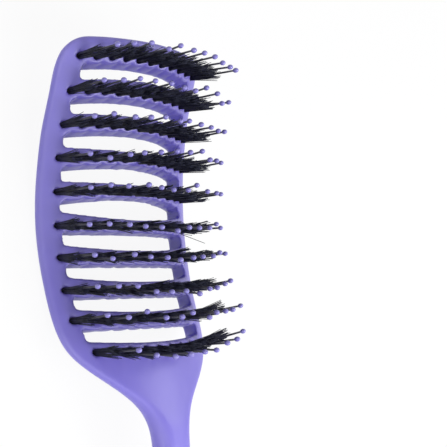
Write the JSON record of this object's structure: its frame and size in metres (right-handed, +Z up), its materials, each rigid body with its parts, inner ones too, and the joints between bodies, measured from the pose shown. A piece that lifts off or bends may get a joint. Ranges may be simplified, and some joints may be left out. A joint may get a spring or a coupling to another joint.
{
  "type": "curved vented detangling brush",
  "caption": "Curved vented detangling brush: a one-piece moulded head and handle with open bars, tufts of bristles and ball-tipped pins.",
  "frame": {"origin": "middle of the brush's length and width, on the table that it lies on", "axes": "+Y along the brush towards the tip of the head, +X across it, +Z up out of the bristle side, with the brush lying on its back"},
  "size_m": [0.0648, 0.2382, 0.056],
  "materials": {
    "moulding": "soft-touch lavender plastic, fine satin grain",
    "bristle": "black nylon strands, slight sheen",
    "pin": "black nylon pin, satin",
    "tip": "pale lavender resin drop, glossy",
    "anchor": "flat anchor wire, bright"
  },
  "bodies": {
    "root": {"frame": "moulding", "row_01_bristles": "bristle", "row_01_pins": "pin", "row_01_tips": "tip", "row_01_anchors": "anchor", "row_02_bristles": "bristle", "row_02_pins": "pin", "row_02_tips": "tip", "row_02_anchors": "anchor", "row_03_bristles": "bristle", "row_03_pins": "pin", "row_03_tips": "tip", "row_03_anchors": "anchor", "row_04_bristles": "bristle", "row_04_pins": "pin", "row_04_tips": "tip", "row_04_anchors": "anchor", "row_05_bristles": "bristle", "row_05_pins": "pin", "row_05_tips": "tip", "row_05_anchors": "anchor", "row_06_bristles": "bristle", "row_06_pins": "pin", "row_06_tips": "tip", "row_06_anchors": "anchor", "row_07_bristles": "bristle", "row_07_pins": "pin", "row_07_tips": "tip", "row_07_anchors": "anchor", "row_08_bristles": "bristle", "row_08_pins": "pin", "row_08_tips": "tip", "row_08_anchors": "anchor", "row_09_bristles": "bristle", "row_09_pins": "pin", "row_09_tips": "tip", "row_09_anchors": "anchor", "row_10_bristles": "bristle", "row_10_pins": "pin", "row_10_tips": "tip", "row_10_anchors": "anchor"}
  },
  "joints": []
}
